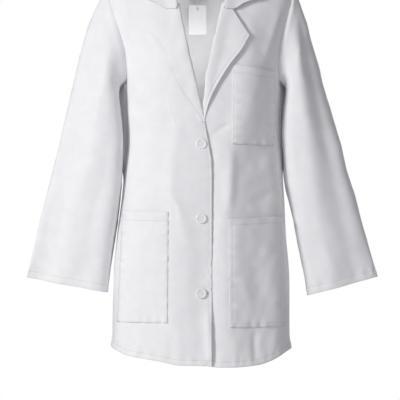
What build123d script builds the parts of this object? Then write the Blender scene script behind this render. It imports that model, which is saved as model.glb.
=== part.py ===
"""White lab coat with a notched collar, three buttons, two hip pockets and a chest pocket.

Millimetres. +Z is up and the front faces -Y, so the wearer's right side is at -X. The origin is
the hanger rest, the point between the two shoulder lines where a hanger carries the coat.
Every cloth piece is a thin closed solid cut from skins of one torso form.
"""

import os
from math import cos, pi, radians, sin, sqrt

from build123d import *

# Cloth
cloth = 1.0
layer_gap = 0.2
pitch = cloth + layer_gap
form_power = 2.5
seam_y = 4.0
edge_gap = 0.6

# Torso levels: height, middle X, half width, middle Y, half depth, share of growth that goes up
levels = (
    (-812, 1, 179, 0, 110, 0),
    (-600, 1, 174, 0, 108, 0),
    (-414, 5, 158, 0, 101, 0),
    (-284, 4, 154, 0, 101, 0),
    (-174, 3, 160, 2, 97, 0),
    (-84, 0, 186, 6, 80, 0.5),
    (-56, 0, 189, 8, 71, 0.8),
    (-20, 0, 120, 10, 58, 0.9),
    (8, 0, 60, 11, 47, 0.9),
)
form_points = 16
hem_drop = 812.0
hem_rise = 16.0
reach = 260.0

# Front opening
overlap = 22.0
facing_width = 65.0
break_z = -332.0
right_roll = ((-58, 0), (-48, -84), (-29, -180), (-19, -225), (-9, -266), (1, -308), (9, break_z))
right_edge = ((15, -370), (21, -404), (overlap, -420), (overlap, -hem_drop - 10))
left_roll = ((58, 0), (47, -84), (36, -135), (13, -237), (2, -300), (-10, -334), (-overlap, -380))
left_edge = ((-overlap, -hem_drop - 10),)
right_lapel_edge = ((-64, -104), (-101, -156), (-78, -186), (-45, -262), (-20, -300), (-2, -326))
left_lapel_edge = ((63, -106), (94, -159), (76, -190), (58, -214), (22, -275), (14, -300))
fold_width = 1.2

# Neck and collar
neck_half_width = 73.0
neck_half_depth = 56.0
neck_mid_y = 6.0
collar_cloth = 0.9
interfacing_cloth = 0.5
roll_width = 6.0
# Stations from the gorge round to the centre back: neck seam point, top of the roll, outer edge
collar_stations = (
    ((-54, -76, -97), (-46, -90, -98), (-114, -72, -82)),
    ((-60, -58, -52), (-53, -72, -46), (-127, -56, -50)),
    ((-66, -30, -12), (-61, -36, 4), (-131, -22, -22)),
    ((-68, 4, 0), (-65, 2, 27), (-122, 12, -8)),
    ((-56, 36, -2), (-54, 36, 34), (-98, 66, -14)),
    ((-30, 54, -5), (-29, 53, 36), (-52, 82, -26)),
    ((0, 60, -6), (0, 58, 36), (0, 87, -29)),
)

# Sleeves: outer X and Z, inner X and Z, half depth, from the shoulder down to the cuff
armhole_z = -148.0
armhole_half_height = 98.0
armhole_half_depth = 50.0
right_sleeve_rings = (
    (-183, -58, -154, -242, 45),
    (-211, -96, -158, -264, 50),
    (-240, -180, -161, -314, 53),
    (-264, -276, -159, -372, 51),
    (-288, -372, -158, -430, 47),
    (-310, -468, -167, -508, 41),
    (-332, -564, -178, -586, 32),
    (-352, -640, -190, -670, 20),
)
left_sleeve_rings = (
    (183, -58, 160, -242, 45),
    (203, -96, 166, -264, 50),
    (226, -180, 167, -314, 53),
    (252, -276, 166, -372, 51),
    (280, -372, 168, -430, 47),
    (308, -468, 183, -504, 41),
    (336, -564, 199, -594, 32),
    (359, -638, 216, -677, 20),
)

# Patch pockets: corners in the front view, and how far the cloth stands off the front
pocket_bulge = 12.0
chest_pocket_outline = ((62, -215), (112, -216), (148, -226), (150, -375), (61, -373))
left_pocket_outline = ((54, -522), (168, -516), (170, -736), (56, -736))
right_pocket_outline = ((-160, -506), (-64, -508), (-66, -727), (-166, -727))

# Buttons
button_x = 1.0
button_heights = (-373.0, -520.5, -668.0)
button_diameter = 20.0
button_thickness = 3.2
button_stand = 1.2
button_rim = 2.4
button_hole_diameter = 2.0
button_hole_spacing = 4.4
thread_diameter = 1.1
shank_diameter = 2.6
thread_pad = 0.45
buttonhole_length = 23.0
buttonhole_height = 3.4
buttonhole_border = 1.6
stitch_height = 0.5

# Hanger loop, neck label and swing tag
loop_half_width = 30.0
loop_top_z = -10.0
loop_drop = 26.0
loop_y = 49.0
loop_diameter = 3.0
label_width = 50.0
label_top_z = -30.0
label_height = 25.0
tag_x = -7.0
tag_width = 36.0
tag_height = 60.0
tag_thickness = 0.6
tag_corner = 2.5
tag_hole_diameter = 5.0
tag_hole_from_top = 8.0
tag_hole_z = -94.0
fastener_diameter = 1.0
fastener_width = 7.0


def power(value, exponent):
    """Signed power, for the superellipse."""
    return abs(value) ** exponent * (1 if value >= 0 else -1)


def level_points(level, grow):
    """Points round one torso level, grown outwards by grow."""
    z, mid_x, half_x, mid_y, half_y, rise = level
    wide = half_x + grow * (1 - 0.6 * rise)
    deep = half_y + grow * (1 - 0.5 * rise)
    points = []
    for step in range(form_points):
        angle = 2 * pi * step / form_points
        x = mid_x + wide * power(cos(angle), 2 / form_power)
        y = mid_y + deep * power(sin(angle), 2 / form_power)
        points.append((x, y))
    return z + grow * rise, points


def front_y(z, x=0.0):
    """Y of the ungrown torso front at height z and place x."""
    for low, high in zip(levels, levels[1:]):
        if low[0] <= z <= high[0]:
            share = (z - low[0]) / (high[0] - low[0])
            values = [a + (b - a) * share for a, b in zip(low, high)]
            ratio = min(abs(x - values[1]) / values[2], 1.0)
            return values[3] - values[4] * (1 - ratio**form_power) ** (1 / form_power)
    return 0.0


def torso_form(grow):
    """The whole torso as one solid, with its surface grown outwards by grow."""
    with BuildPart() as form:
        for level in levels:
            z, points = level_points(level, grow)
            with BuildSketch(Plane.XY.offset(z)):
                with BuildLine():
                    Spline(*points, periodic=True)
                make_face()
        loft(ruled=True)
    return form.part


def prism(points, front=True, depth=reach):
    """A front-view outline extruded forwards or backwards from the side seams."""
    with BuildPart() as block:
        with BuildSketch(Plane.XZ.offset(-seam_y)):
            with BuildLine():
                Polyline(*points, close=True)
            make_face()
        extrude(amount=depth if front else -depth)
    return block.part


def outline_mask():
    """Everything above the curved hem, less the neck hole and both armholes."""
    with BuildPart() as mask:
        with BuildSketch(Plane.XZ.offset(-reach)):
            with BuildLine():
                left = (-reach, -hem_drop + hem_rise * (reach / 180) ** 2)
                right = (reach, -hem_drop + hem_rise * (reach / 180) ** 2)
                ThreePointArc(left, (0, -hem_drop), right)
                Polyline(right, (reach, 60), (-reach, 60), left)
            make_face()
        extrude(amount=2 * reach)
        with BuildSketch(Plane.XY.offset(-60)):
            with Locations((0, neck_mid_y)):
                Ellipse(neck_half_width, neck_half_depth)
        extrude(amount=200, mode=Mode.SUBTRACT)
        with BuildSketch(Plane.YZ.offset(-reach)):
            with Locations((2, armhole_z)):
                Ellipse(armhole_half_depth, armhole_half_height)
        extrude(amount=reach - 110, mode=Mode.SUBTRACT)
        with BuildSketch(Plane.YZ.offset(reach)):
            with Locations((2, armhole_z)):
                Ellipse(armhole_half_depth, armhole_half_height)
        extrude(amount=-(reach - 110), mode=Mode.SUBTRACT)
    return mask.part


forms = {}
mask = outline_mask()


def skin(inside, outside):
    """The layer of cloth between two torso forms, with its hem and openings cut."""
    for grow in (inside, outside):
        if grow not in forms:
            forms[grow] = torso_form(grow)
    with BuildPart() as layer:
        add(forms[outside])
        add(forms[inside], mode=Mode.SUBTRACT)
        add(mask, mode=Mode.INTERSECT)
    return layer.part


def piece_of(layer, region):
    """The part of a layer inside a region."""
    with BuildPart() as piece:
        add(layer)
        add(region, mode=Mode.INTERSECT)
    return piece.part


def shifted(points, dx):
    """Points moved sideways by dx."""
    return [(x + dx, z) for x, z in points]


def layer_skin(number):
    """One layer of cloth, counted inwards from 0, the outermost."""
    outside = -number * pitch
    return skin(outside - cloth, outside)


def lapel_outline(roll, edge, side):
    """A lapel in the front view, between its roll line and its outer edge."""
    rolled = [(x + side * fold_width / 2, z) for x, z in roll if edge[-1][1] <= z <= -84]
    return rolled + list(edge)[::-1]


outer_skin = layer_skin(0)
facing_skin = layer_skin(1)
lapel_out = layer_gap + cloth
lapel_top_skin = skin(lapel_out + layer_gap, lapel_out + pitch)
lapel_under_skin = skin(-cloth, lapel_out)
fold_skin = skin(-pitch - cloth, lapel_out + pitch)

right_side = [(-reach, 20), (-58, 20)]
right_line = list(right_roll) + list(right_edge)
right_region = prism(right_side + right_line + [(-reach, -hem_drop - 10)])
left_side = [(reach, 20), (58, 20)]
left_line = list(left_roll) + list(left_edge)
left_region = prism(left_side + left_line + [(reach, -hem_drop - 10)])

buttonholes = []
for height in button_heights:
    with BuildPart() as buttonhole:
        with BuildSketch(Plane.XZ):
            with Locations((button_x, height)):
                SlotOverall(buttonhole_length, buttonhole_height)
        extrude(amount=reach)
    buttonholes.append(buttonhole.part)

# Back panel
with BuildPart() as back_panel:
    add(outer_skin)
    add(prism([(-reach, 60), (reach, 60), (reach, -900), (-reach, -900)], front=False), mode=Mode.INTERSECT)

# Back neck facing, a half moon under the collar
with BuildPart() as back_neck_facing:
    add(facing_skin)
    add(prism([(-78, 30), (78, 30), (70, -50), (40, -72), (-40, -72), (-70, -50)], front=False), mode=Mode.INTERSECT)

# Right front, which carries the buttonholes and lies on top, with the under layer of its lapel
right_lapel_outline = lapel_outline(right_roll, right_lapel_edge, 1)
with BuildPart() as right_front:
    add(piece_of(outer_skin, right_region))
    add(piece_of(piece_of(lapel_under_skin, prism(right_lapel_outline)), right_region))
    for hole in buttonholes:
        add(hole, mode=Mode.SUBTRACT)

# Right facing, which lines the front edge and turns out over the roll line as the lapel's face
right_facing_region = prism(
    [(-112, 20), (-58, 20)] + right_line + [(overlap - facing_width, -hem_drop - 10), (-48, -420), (-80, -250), (-112, -110)]
)
roll_part = [point for point in right_roll if -310 <= point[1] <= -84]
right_fold_region = prism(shifted(roll_part, layer_gap) + shifted(roll_part, fold_width)[::-1])
with BuildPart() as right_facing:
    add(piece_of(facing_skin, right_facing_region))
    add(piece_of(lapel_top_skin, prism(right_lapel_outline)))
    add(piece_of(fold_skin, right_fold_region))
    for hole in buttonholes:
        add(hole, mode=Mode.SUBTRACT)

# Left front, which steps inwards to pass under the right front
step_line = [(-9, -266), (1, -308), (9, break_z)] + list(right_edge)
step_line = [(-25, -200)] + step_line
beyond = [(reach, -hem_drop - 10), (reach, 20), (-25, 20)]
left_lapel_outline = lapel_outline(left_roll, left_lapel_edge, -1)
with BuildPart() as left_front:
    add(piece_of(piece_of(outer_skin, left_region), prism(shifted(step_line, edge_gap) + beyond)))
    add(piece_of(piece_of(lapel_under_skin, prism(left_lapel_outline)), left_region))
    step = prism(shifted(step_line[2:], edge_gap) + shifted(step_line[2:], edge_gap + 1.8)[::-1])
    add(piece_of(piece_of(skin(-2 * pitch - cloth, 0), left_region), step))
    under = prism([(-60, -266)] + shifted(step_line[2:], edge_gap + 1.8) + [(-60, -hem_drop - 10)])
    add(piece_of(piece_of(layer_skin(2), left_region), under))

# Left facing
left_facing_region = prism(
    [(112, 20), (58, 20)] + left_line + [(facing_width - overlap, -hem_drop - 10), (48, -420), (80, -250), (112, -110)]
)
left_strip = [point for point in left_roll if -240 <= point[1] <= -84]
left_fold_region = prism(shifted(left_strip, -layer_gap) + shifted(left_strip, -fold_width)[::-1])
with BuildPart() as left_facing:
    add(piece_of(piece_of(facing_skin, left_facing_region), prism(shifted(step_line, edge_gap + 2.0) + beyond)))
    add(piece_of(lapel_top_skin, prism(left_lapel_outline)))
    add(piece_of(fold_skin, left_fold_region))
    step = prism(shifted(step_line[2:], edge_gap + 2.0) + shifted(step_line[2:], edge_gap + 3.8)[::-1])
    add(piece_of(piece_of(skin(-3 * pitch - cloth, -pitch), left_facing_region), step))
    under = prism([(-60, -266)] + shifted(step_line[2:], edge_gap + 3.8) + [(-60, -hem_drop - 10)])
    add(piece_of(piece_of(layer_skin(3), left_facing_region), under))

# Neck label
with BuildPart() as neck_label:
    add(layer_skin(2))
    half = label_width / 2
    low = label_top_z - label_height
    add(prism([(-half, label_top_z), (half, label_top_z), (half, low), (-half, low)], front=False), mode=Mode.INTERSECT)


# Collar: three layers that stand up from the neck seam and fold over the roll
def plane_frame(neck, roll, edge):
    """Origin and two unit directions of the plane through the three points of a station."""
    neck, roll, edge = Vector(*neck), Vector(*roll), Vector(*edge)
    normal = (neck - roll).cross(edge - roll).normalized()
    fall = (edge - roll).normalized()
    return roll, fall, normal.cross(fall).normalized()


def offset_path(path, distance):
    """An open 2-D path moved to its left by distance, with mitred corners."""
    lines = []
    for (ax, ay), (bx, by) in zip(path, path[1:]):
        length = sqrt((bx - ax) ** 2 + (by - ay) ** 2)
        nx, ny = -(by - ay) / length * distance, (bx - ax) / length * distance
        lines.append(((ax + nx, ay + ny), (bx + nx, by + ny)))
    result = [lines[0][0]]
    for (p, q), (r, s) in zip(lines, lines[1:]):
        d1, d2 = (q[0] - p[0], q[1] - p[1]), (s[0] - r[0], s[1] - r[1])
        cross = d1[0] * d2[1] - d1[1] * d2[0]
        share = ((r[0] - p[0]) * d2[1] - (r[1] - p[1]) * d2[0]) / cross
        result.append((p[0] + d1[0] * share, p[1] + d1[1] * share))
    result.append(lines[-1][1])
    return result


def collar_layer(near, far):
    """One collar layer between two depths below its outer face, right round the neck."""
    half = collar_stations
    mirrored = [tuple((-x, y, z) for x, y, z in station) for station in half[-2::-1]]
    stations = list(half) + mirrored
    with BuildPart() as layer:
        for number, (neck, roll, edge) in enumerate(stations):
            origin, fall, across = plane_frame(neck, roll, edge)
            to_neck = Vector(*neck) - origin
            neck_2d = (to_neck.dot(fall), to_neck.dot(across))
            length = sqrt(neck_2d[0] ** 2 + neck_2d[1] ** 2)
            middle = (neck_2d[0] / length + 1, neck_2d[1] / length)
            size = sqrt(middle[0] ** 2 + middle[1] ** 2)
            side = (-middle[1] / size, middle[0] / size)
            wide = min(roll_width, length * 0.5) / 2
            sign = 1 if side[0] * neck_2d[0] + side[1] * neck_2d[1] > 0 else -1
            toward = (side[0] * wide * sign, side[1] * wide * sign)
            fall_length = (Vector(*edge) - origin).length
            path = [(fall_length, 0), (-toward[0], -toward[1]), toward, neck_2d]
            turn = 1 if neck_2d[1] > 0 else -1
            outline = offset_path(path, -turn * near) + offset_path(path, -turn * far)[::-1]
            plane = Plane(origin=origin, x_dir=fall, z_dir=fall.cross(across))
            with BuildSketch(plane):
                with BuildLine():
                    Polyline(*outline, close=True)
                make_face()
        loft(ruled=True)
    return layer.part


def keep_out():
    """Where the collar may not go: the torso with its lapels, less the neck hole."""
    with BuildPart() as block:
        add(torso_form(lapel_out + pitch + layer_gap))
        with BuildSketch(Plane.XY.offset(-60)):
            with Locations((0, neck_mid_y)):
                Ellipse(neck_half_width, neck_half_depth)
        extrude(amount=200, mode=Mode.SUBTRACT)
    return block.part


collar_block = keep_out()
collar_gap = 0.1
inner_face = collar_cloth + interfacing_cloth + 2 * collar_gap
layer_depths = (
    (0, collar_cloth),
    (collar_cloth + collar_gap, collar_cloth + collar_gap + interfacing_cloth),
    (inner_face, inner_face + collar_cloth),
)
with BuildPart() as upper_collar:
    add(collar_layer(*layer_depths[0]))
    add(collar_block, mode=Mode.SUBTRACT)
with BuildPart() as collar_interfacing:
    add(collar_layer(*layer_depths[1]))
    add(collar_block, mode=Mode.SUBTRACT)
with BuildPart() as under_collar:
    add(collar_layer(*layer_depths[2]))
    add(collar_block, mode=Mode.SUBTRACT)


# Sleeves
def ring_points(half_wide, half_deep):
    """Points round one oval sleeve ring."""
    steps = [2 * pi * step / form_points for step in range(form_points)]
    return [(half_wide * cos(angle), half_deep * sin(angle)) for angle in steps]


def sleeve_tube(rings, inset, extend=0.0):
    """A closed tube through the rings, inset inwards and run on past both ends by extend."""
    shifts = [extend] + [0.0] * (len(rings) - 2) + [-extend]
    spans = list(zip(rings, shifts))
    with BuildPart() as tube:
        for span in zip(spans, spans[1:]):
            for (out_x, out_z, in_x, in_z, deep), shift in span:
                outer, inner = Vector(out_x, 0, out_z), Vector(in_x, 0, in_z)
                across = (inner - outer).normalized() * (1 if out_x < 0 else -1)
                up = across.cross(Vector(0, 1, 0))
                middle = (outer + inner) * 0.5 + up * shift
                with BuildSketch(Plane(origin=middle, x_dir=across, z_dir=up)):
                    with BuildLine():
                        Spline(*ring_points((outer - inner).length / 2 - inset, deep - inset), periodic=True)
                    make_face()
            loft(ruled=True)
    return tube.part


def sleeve(rings):
    """One sleeve as a hollow tube of cloth."""
    with BuildPart() as shell:
        add(sleeve_tube(rings, 0))
        add(sleeve_tube(rings, cloth, extend=1.0), mode=Mode.SUBTRACT)
    return shell.part


with BuildPart() as right_sleeve:
    add(sleeve(right_sleeve_rings))
with BuildPart() as left_sleeve:
    add(sleeve(left_sleeve_rings))


# Patch pockets
def inset_outline(points, amount, open_top):
    """A four or five cornered outline pulled in at the sides and foot, and past the top."""
    mid_x = sum(x for x, _ in points) / len(points)
    low = min(z for _, z in points)
    inset = []
    for x, z in points:
        x = x + amount if x < mid_x else x - amount
        if z - low < 20:
            z = z + amount
        else:
            z = z + open_top
        inset.append((x, z))
    return inset


def patch_pocket(outline):
    """A patch of cloth that stands off the front, closed at its sides and foot, open on top."""
    block = prism(outline)
    with BuildPart() as rim:
        add(piece_of(pocket_rim_skin, block))
        add(prism(inset_outline(outline, 1.5, 30)), mode=Mode.SUBTRACT)
    with BuildPart() as pocket:
        add(piece_of(pocket_skin, block))
        add(rim.part)
    return pocket.part


pocket_skin = skin(pocket_bulge - cloth, pocket_bulge)
pocket_rim_skin = skin(layer_gap, pocket_bulge)


with BuildPart() as chest_pocket:
    add(patch_pocket(chest_pocket_outline))
with BuildPart() as left_pocket:
    add(patch_pocket(left_pocket_outline))
with BuildPart() as right_pocket:
    add(patch_pocket(right_pocket_outline))


# Buttons, each sewn to the left front through its buttonhole
def front_plane(height, stand):
    """A plane facing forwards at a button, stand millimetres in front of the cloth."""
    return Plane(origin=(button_x, front_y(height, button_x) - stand, height), x_dir=(1, 0, 0), z_dir=(0, -1, 0))


def button(height):
    """A four-hole button with a raised rim."""
    radius = button_diameter / 2
    with BuildPart() as disc:
        with BuildSketch(front_plane(height, button_stand)):
            Circle(radius)
        extrude(amount=button_thickness)
        fillet(disc.edges().filter_by(GeomType.CIRCLE), 0.9)
        with BuildSketch(front_plane(height, button_stand + button_thickness)):
            Circle(radius - button_rim)
        extrude(amount=-1.0, taper=20, mode=Mode.SUBTRACT)
        with BuildSketch(front_plane(height, button_stand)):
            with GridLocations(button_hole_spacing, button_hole_spacing, 2, 2):
                Circle(button_hole_diameter / 2)
        extrude(amount=button_thickness, mode=Mode.SUBTRACT)
    return disc.part


def button_thread(height):
    """The thread in a button's four holes, and the shank it makes through the buttonhole."""
    face = button_stand + button_thickness - 1.0
    foot = -2 * pitch + 0.3
    with BuildPart() as thread:
        with BuildSketch(front_plane(height, foot)):
            Circle(shank_diameter / 2)
        extrude(amount=button_stand - thread_pad - foot)
        with BuildSketch(front_plane(height, button_stand - thread_pad)):
            Rectangle(button_hole_spacing + thread_diameter, button_hole_spacing + thread_diameter)
        extrude(amount=thread_pad)
        with BuildSketch(front_plane(height, button_stand)):
            with GridLocations(button_hole_spacing, button_hole_spacing, 2, 2):
                Circle(thread_diameter / 2)
        extrude(amount=face - button_stand)
        with BuildSketch(front_plane(height, face)):
            with GridLocations(0, button_hole_spacing, 1, 2):
                SlotOverall(button_hole_spacing + thread_diameter, thread_diameter)
        extrude(amount=0.6)
    return thread.part


with BuildPart() as button_top:
    add(button(button_heights[0]))
with BuildPart() as button_middle:
    add(button(button_heights[1]))
with BuildPart() as button_bottom:
    add(button(button_heights[2]))
with BuildPart() as thread_top:
    add(button_thread(button_heights[0]))
with BuildPart() as thread_middle:
    add(button_thread(button_heights[1]))
with BuildPart() as thread_bottom:
    add(button_thread(button_heights[2]))

# Buttonhole stitching, a raised border round each slit
with BuildPart() as buttonhole_stitching:
    add(skin(layer_gap, stitch_height))
    with BuildSketch(Plane.XZ):
        with Locations(*[(button_x, height) for height in button_heights]):
            SlotOverall(buttonhole_length + 2 * buttonhole_border, buttonhole_height + 2 * buttonhole_border)
            SlotOverall(buttonhole_length, buttonhole_height, mode=Mode.SUBTRACT)
    extrude(amount=reach, mode=Mode.INTERSECT)

# Hanger loop, a rolled strip sewn at both ends under the collar seam
with BuildPart() as hanger_loop:
    with BuildLine(Plane.XZ.offset(-loop_y)) as loop_path:
        ThreePointArc((-loop_half_width, loop_top_z), (0, loop_top_z - loop_drop), (loop_half_width, loop_top_z))
    with BuildSketch(Plane(origin=loop_path.line @ 0, z_dir=loop_path.line % 0)):
        Circle(loop_diameter / 2)
    sweep()

# Height of the hanger loop above the tag
loop_radius = (loop_half_width**2 + loop_drop**2) / (2 * loop_drop)
loop_low_z = loop_top_z - loop_drop + loop_radius - sqrt(loop_radius**2 - tag_x**2)

# Tag fastener, a moulded nylon ring through the tag and round the hanger loop
ring_half = fastener_width / 2
ring_top = loop_low_z + loop_diameter / 2 + 0.9 - ring_half
ring_low = tag_hole_z
with BuildPart() as tag_fastener:
    with BuildLine(Plane(origin=(tag_x, loop_y, 0), x_dir=(0, 1, 0), z_dir=(1, 0, 0))) as ring_path:
        Line((-ring_half, ring_low + ring_half), (-ring_half, ring_top))
        ThreePointArc((-ring_half, ring_top), (0, ring_top + ring_half), (ring_half, ring_top))
        Line((ring_half, ring_top), (ring_half, ring_low + ring_half))
        ThreePointArc((ring_half, ring_low + ring_half), (0, ring_low), (-ring_half, ring_low + ring_half))
    with BuildSketch(Plane(origin=ring_path.line @ 0, z_dir=ring_path.line % 0)):
        Circle(fastener_diameter / 2)
    sweep()

# Swing tag, a blank card
with BuildPart() as swing_tag:
    tag_plane = Plane(origin=(tag_x, loop_y + tag_thickness / 2, tag_hole_z), x_dir=(1, 0, 0), z_dir=(0, -1, 0))
    with BuildSketch(tag_plane):
        with Locations((0, tag_hole_from_top - tag_height / 2)):
            RectangleRounded(tag_width, tag_height, tag_corner)
        Circle(tag_hole_diameter / 2, mode=Mode.SUBTRACT)
    extrude(amount=tag_thickness)

pieces = {
    "back_panel": back_panel,
    "back_neck_facing": back_neck_facing,
    "right_front": right_front,
    "right_facing": right_facing,
    "left_front": left_front,
    "left_facing": left_facing,
    "neck_label": neck_label,
    "upper_collar": upper_collar,
    "collar_interfacing": collar_interfacing,
    "under_collar": under_collar,
    "right_sleeve": right_sleeve,
    "left_sleeve": left_sleeve,
    "chest_pocket": chest_pocket,
    "left_pocket": left_pocket,
    "right_pocket": right_pocket,
    "button_top": button_top,
    "button_middle": button_middle,
    "button_bottom": button_bottom,
    "thread_top": thread_top,
    "thread_middle": thread_middle,
    "thread_bottom": thread_bottom,
    "buttonhole_stitching": buttonhole_stitching,
    "hanger_loop": hanger_loop,
    "tag_fastener": tag_fastener,
    "swing_tag": swing_tag,
}
os.makedirs("parts", exist_ok=True)
for name, piece in pieces.items():
    piece.part.label = name
    export_step(piece.part, f"parts/{name}.step")
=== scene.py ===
"""White lab coat on a plain pale studio stage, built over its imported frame."""

import math

import bpy
import numpy as np
from bpy.props import FloatProperty, FloatVectorProperty, PointerProperty
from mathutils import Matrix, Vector


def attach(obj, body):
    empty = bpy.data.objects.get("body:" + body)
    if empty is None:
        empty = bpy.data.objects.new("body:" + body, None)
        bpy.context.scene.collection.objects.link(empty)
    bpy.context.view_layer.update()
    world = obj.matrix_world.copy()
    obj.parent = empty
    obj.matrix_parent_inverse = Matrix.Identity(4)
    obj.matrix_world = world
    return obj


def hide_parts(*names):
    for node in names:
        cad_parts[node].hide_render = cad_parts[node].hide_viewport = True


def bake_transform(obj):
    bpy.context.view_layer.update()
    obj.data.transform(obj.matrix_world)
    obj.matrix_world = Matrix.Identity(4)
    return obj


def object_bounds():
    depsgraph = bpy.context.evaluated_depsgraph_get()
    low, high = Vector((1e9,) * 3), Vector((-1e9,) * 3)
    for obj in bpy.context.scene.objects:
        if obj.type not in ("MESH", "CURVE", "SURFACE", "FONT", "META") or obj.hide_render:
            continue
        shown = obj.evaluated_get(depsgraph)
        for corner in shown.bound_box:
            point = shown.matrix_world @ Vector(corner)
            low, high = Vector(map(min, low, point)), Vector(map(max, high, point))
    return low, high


bl_info = {
    "name": "Lab coat",
    "version": (1, 0, 0),
    "blender": (4, 5, 0),
    "location": "View3D > Sidebar > Lab coat",
    "description": "Builds a white lab coat piece by piece over its frame",
    "category": "Add Mesh",
}

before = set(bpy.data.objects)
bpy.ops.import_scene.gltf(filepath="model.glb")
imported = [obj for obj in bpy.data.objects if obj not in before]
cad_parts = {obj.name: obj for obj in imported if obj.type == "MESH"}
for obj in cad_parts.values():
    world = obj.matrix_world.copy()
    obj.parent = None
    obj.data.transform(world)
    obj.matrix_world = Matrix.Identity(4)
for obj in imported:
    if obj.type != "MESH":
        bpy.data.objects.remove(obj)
CAD_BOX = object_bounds()
# Metres in a millimetre, the unit of every table and shape below
MM = 0.001
# Roundness of the torso's section: 2 is an ellipse, and a larger number is squarer
POWER = 2.5

# ---------------------------------------------------------------------------------------------
# Shape of the torso: tables in millimetres, smoothly joined
# ---------------------------------------------------------------------------------------------

# Height, middle X, half width
WIDTHS = (
    (-812, 1, 179), (-740, 0, 178.5), (-636, 1, 177), (-564, 1, 171), (-484, 4, 164), (-414, 5, 158),
    (-364, 6, 154), (-284, 4, 154.5), (-246, 4, 155), (-210, 3, 160), (-174, 2, 168), (-148, 1, 176),
    (-116, 0, 186), (-90, 0, 191), (-56, 0, 189), (-40, 0, 162), (-20, 0, 120), (0, 0, 78), (8, 0, 62),
)
# Height, middle Y, half depth
DEPTHS = (
    (-812, 0, 110), (-600, 0, 108), (-414, 0, 101), (-284, 0, 101), (-174, 2, 97), (-84, 6, 80),
    (-56, 8, 71), (-20, 10, 58), (8, 11, 47),
)
# Armholes: height of the middle, half height, and depth as a share of the half width
ARMHOLE_MIDDLE = -149.0
ARMHOLE_REACH = 97.0
ARMHOLE_DEPTH = 0.075
# Folds fade out near the seams: depth beside the armhole, as above, and the angle they take in radians
SEAM_FADE_DEPTH = 0.085
SEAM_FADE_ANGLE = 0.24
HEM_Z = -811.0
# Height of the hem at points across the coat
HEM = (
    (-181, -777), (-164, -786), (-146, -793), (-98, -801), (-74, -805), (-42, -811), (12, -812), (32, -815),
    (64, -815), (98, -813), (116, -811), (140, -804), (160, -794), (181, -781),
)
SIDE_SEAM = math.pi / 2
# How far the fronts overlap, and where the front beneath has come up level
OVERLAP = 22.0
LAP_END = 26.0
# The turned edge of a lapel, and the columns of mesh round it
CURL_RADIUS = 3.4
CURL_COLUMNS = 9
FACING_WIDTH = 62.0
# Thickness of the visual cloth: back, then fronts with sleeves and pockets, collar, facings
BACK_CLOTH, BODY_CLOTH, COLLAR_CLOTH, FACING_CLOTH = 0.6, 0.7, 0.8, 0.9
# Where the back stands out under each arm: middle height, reach up and down, reach in depth, how far
UNDER_ARM_Z, UNDER_ARM_REACH, UNDER_ARM_DEPTH, UNDER_ARM_PUSH = -326, 94, 18, 19.0
# Neck facing: height at its ends, extra height at the centre, half angle, distance inside the back
NECK_SIDE, NECK_CENTRE, NECK_ANGLE, NECK_INSET = 22, 46, 0.72, 1.6
# Length over which a sleeve changes from the armhole's outline to its own
SLEEVE_HEAD = 62.0
# Spacing of a pocket's mesh
POCKET_GRID = 1.7
# Seeds of the fronts' waves, which the pockets on them share
RIGHT_SEED, LEFT_SEED = 21, 22
# From the fold or edge to the row of stitches
HEM_STITCH = 11.0
CUFF_STITCH = 14.0
EDGE_STITCH = 6.0
POCKET_STITCH = 2.0
POCKET_SECOND_STITCH = 7.5
# Distance given to cloth that no row of stitches comes near
NO_STITCH = 50.0

# Roll lines, front edges, lapel edges and gorges: X and Z in the front view, from the top down
RIGHT_ROLL = ((-58, 0), (-48, -84), (-29, -180), (-19, -225), (-9, -266), (1, -308), (9, -332))
RIGHT_EDGE = RIGHT_ROLL + ((15, -370), (21, -404), (OVERLAP, -430), (OVERLAP, -900))
LEFT_UPPER_EDGE = ((58, 0), (47, -84), (36, -135), (13, -237))
LEFT_ROLL = LEFT_UPPER_EDGE + ((9, -300), (6, -320))
LEFT_EDGE = LEFT_UPPER_EDGE + ((2, -300), (-10, -334), (-OVERLAP, -380), (-OVERLAP, -900))
RIGHT_LAPEL = ((-101, -156), (-90, -170), (-78, -186), (-45, -262), (-20, -300), (0, -330))
RIGHT_GORGE = ((-47, -96), (-64, -104), (-101, -156))
LEFT_LAPEL = ((94, -159), (76, -190), (58, -214), (22, -275), (13, -298), (7, -326))
LEFT_GORGE = ((45, -94), (63, -106), (94, -159))

# Collar stations from the gorge to the centre back: neck seam, top of the roll, outer edge
COLLAR = (
    ((-54, -76, -97), (-46, -89, -98), (-114, -76, -83)),
    ((-60, -58, -52), (-53, -72, -46), (-127, -59, -50)),
    ((-66, -30, -12), (-61, -36, 4), (-131, -24, -21)),
    ((-68, 4, 0), (-65, 2, 27), (-122, 12, -7)),
    ((-56, 36, -2), (-54, 36, 34), (-98, 66, -13)),
    ((-30, 54, -5), (-29, 53, 36), (-52, 83, -25)),
    ((0, 60, -6), (0, 58, 36), (0, 89, -29)),
)

# Sleeve rings: outer X and Z, inner X and Z, half depth
RIGHT_SLEEVE = (
    (-184, -52, -154, -246, 45), (-211, -96, -165, -260, 50), (-240, -180, -161, -314, 53),
    (-264, -276, -156.5, -372, 51), (-288, -372, -157.5, -430, 47), (-310, -468, -166, -508, 41),
    (-332, -564, -178, -586, 32), (-352, -640, -190, -670, 21),
)
LEFT_SLEEVE = (
    (184, -52, 160, -246, 45), (204, -96, 172, -260, 50), (226, -180, 166, -314, 53),
    (252, -276, 165, -372, 51), (280, -372, 167, -430, 47), (308, -468, 182, -504, 41),
    (336, -564, 198, -592, 32), (359, -638, 216, -676, 21),
)

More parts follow.
